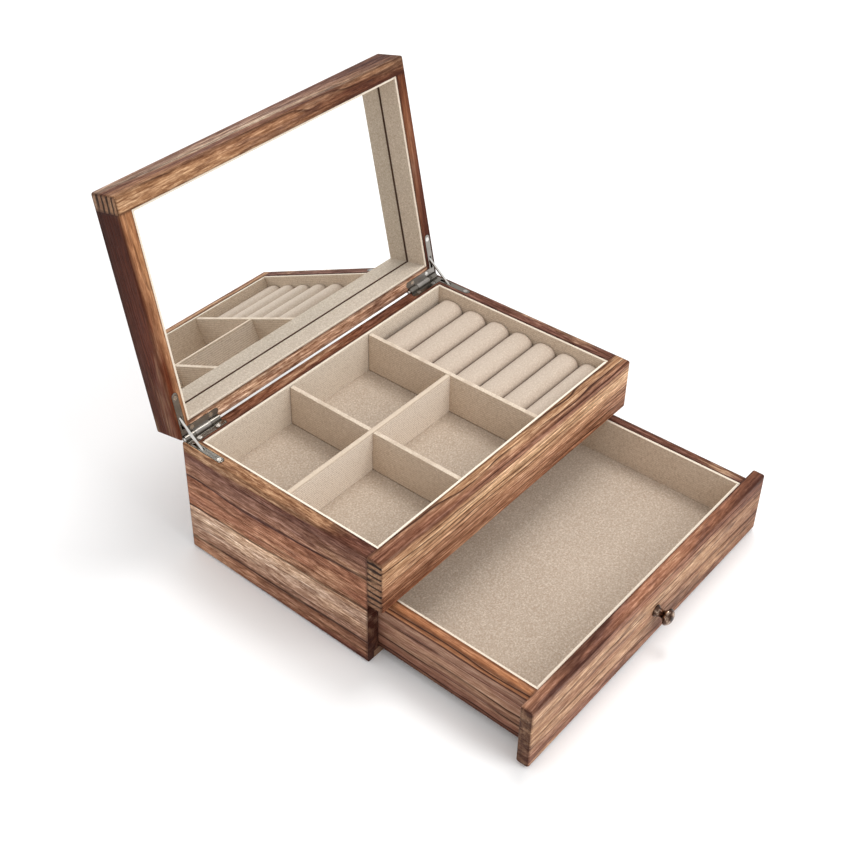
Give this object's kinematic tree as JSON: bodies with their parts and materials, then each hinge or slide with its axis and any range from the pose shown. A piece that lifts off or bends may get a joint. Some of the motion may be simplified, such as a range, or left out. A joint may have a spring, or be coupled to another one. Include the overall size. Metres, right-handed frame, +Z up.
{
  "type": "jewelry box",
  "caption": "Two-level wooden jewelry box with a mirrored lid on stay hinges, a lined tray with dividers and ring rolls, and a full-width lined drawer below.",
  "frame": {"origin": "on the table under the middle of the case, at the centre of its rest face", "axes": "+X across the width to the right, +Y from the front to the back, +Z up"},
  "size_m": [0.26, 0.3463, 0.2539],
  "materials": {
    "torched_wood": "torched and brushed, satin",
    "plywood": "plain plywood",
    "linen": "fine woven linen",
    "mirror_glass": "silvered glass",
    "hinge_steel": "dark nickel plate",
    "screw_steel": "plated steel",
    "knob_bronze": "dark antique bronze"
  },
  "bodies": {
    "case": {"back_wall": "torched_wood", "base_hinge_screws": "screw_steel", "base_panel": "plywood", "cross_divider": "linen", "front_rail": "torched_wood", "left_base_hinge_leaf": "hinge_steel", "left_hinge_pin": "hinge_steel", "left_wall": "torched_wood", "long_divider": "linen", "right_base_hinge_leaf": "hinge_steel", "right_hinge_pin": "hinge_steel", "right_wall": "torched_wood", "ring_divider": "linen", "ring_roll_1": "linen", "ring_roll_2": "linen", "ring_roll_3": "linen", "ring_roll_4": "linen", "ring_roll_5": "linen", "ring_roll_6": "linen", "ring_roll_7": "linen", "tray_floor": "plywood", "tray_floor_lining": "linen", "tray_lining_back": "linen", "tray_lining_front": "linen", "tray_lining_left": "linen", "tray_lining_right": "linen"},
    "lid": {"left_lid_hinge_leaf": "hinge_steel", "lid_back_bar": "torched_wood", "lid_front_bar": "torched_wood", "lid_hinge_screws": "screw_steel", "lid_left_bar": "torched_wood", "lid_lining_back": "linen", "lid_lining_front": "linen", "lid_lining_left": "linen", "lid_lining_right": "linen", "lid_panel": "torched_wood", "lid_right_bar": "torched_wood", "mirror": "mirror_glass", "right_lid_hinge_leaf": "hinge_steel"},
    "drawer": {"drawer_back": "torched_wood", "drawer_bottom": "plywood", "drawer_floor_lining": "linen", "drawer_front": "torched_wood", "drawer_knob": "knob_bronze", "drawer_left_side": "torched_wood", "drawer_lining_back": "linen", "drawer_lining_front": "linen", "drawer_lining_left": "linen", "drawer_lining_right": "linen", "drawer_right_side": "torched_wood", "knob_screw": "screw_steel"},
    "left_stay": {"left_stay": "hinge_steel"},
    "right_stay": {"right_stay": "hinge_steel"}
  },
  "joints": [
    {"name": "lid_hinge", "type": "hinge", "parent": "case", "child": "lid", "pos_m": [0, 0.0845, 0.0895], "axis": [1, 0, 0], "range_deg": [0, 102]},
    {"name": "left_stay_swing", "type": "hinge", "parent": "case", "child": "left_stay", "pos_m": [-0.1252, 0.0845, 0.0895], "axis": [1, 0, 0], "range_deg": [0, 51]},
    {"name": "right_stay_swing", "type": "hinge", "parent": "case", "child": "right_stay", "pos_m": [0.1252, 0.0845, 0.0895], "axis": [1, 0, 0], "range_deg": [0, 51]},
    {"name": "drawer_slide", "type": "slide", "parent": "case", "child": "drawer", "axis": [0, -1, 0], "range_m": [-0.11, 0.02]}
  ],
  "couplings": [
    {"joint": "left_stay_swing", "follows": "lid_hinge", "ratio": 0.5},
    {"joint": "right_stay_swing", "follows": "lid_hinge", "ratio": 0.5}
  ]
}
